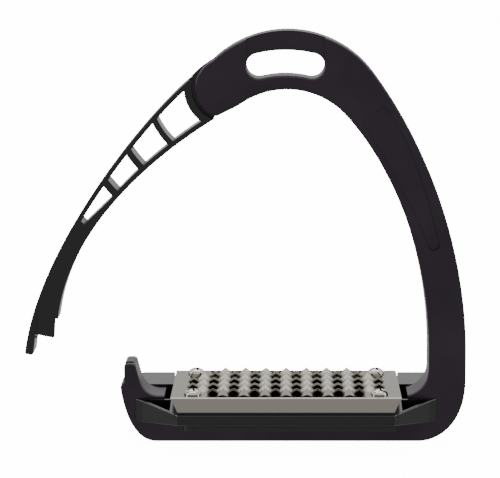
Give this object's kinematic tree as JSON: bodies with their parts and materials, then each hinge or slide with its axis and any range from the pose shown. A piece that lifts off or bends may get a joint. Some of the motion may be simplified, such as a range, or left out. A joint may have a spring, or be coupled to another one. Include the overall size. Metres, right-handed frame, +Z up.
{
  "type": "stirrup iron",
  "caption": "safety stirrup iron with a hinged outer arm, a clamped-on footbed and a lanced steel tread with teeth for the boot's sole",
  "frame": {"origin": "middle of the tread, half way through the frame's thickness, on the base", "axes": "+X across the iron with the release arm on -X, +Y from the front face to the rear, +Z up"},
  "size_m": [0.1817, 0.048, 0.1698],
  "materials": {
    "frame_alloy": "bead-blasted and black anodised, satin",
    "arm_polymer": "glass-filled nylon, moulded, semi-gloss black",
    "footbed_polymer": "glass-filled nylon, moulded, fine satin",
    "keeper_polymer": "glass-filled nylon, moulded",
    "washer_polymer": "acetal, stamped from sheet",
    "tread_steel": "stainless sheet, lanced and folded, brushed",
    "screw_steel": "stainless, cold headed, polished",
    "spring_steel": "spring steel, oiled",
    "bush_bronze": "sintered bronze, oil filled",
    "insert_brass": "turned brass, knurled outside",
    "pad_rubber": "moulded rubber, matte"
  },
  "bodies": {
    "iron": {"frame": "frame_alloy", "thrust_washer_front": "washer_polymer", "thrust_washer_rear": "washer_polymer", "disc_spring": "spring_steel", "hinge_screw": "screw_steel", "footbed": "footbed_polymer", "bar_pad": "pad_rubber", "keeper_front": "keeper_polymer", "keeper_rear": "keeper_polymer", "tread_plate": "tread_steel", "tread_screw_1": "screw_steel", "tread_screw_2": "screw_steel", "tread_screw_3": "screw_steel", "tread_screw_4": "screw_steel", "threaded_insert_1": "insert_brass", "threaded_insert_2": "insert_brass", "threaded_insert_3": "insert_brass", "threaded_insert_4": "insert_brass"},
    "arm": {"release_arm": "arm_polymer", "hub_bush": "bush_bronze"}
  },
  "joints": [
    {"name": "arm_release", "type": "hinge", "parent": "iron", "child": "arm", "pos_m": [-0.0246, 0, 0.1466], "axis": [0, 1, 0], "range_deg": [-17.3, 45]}
  ]
}
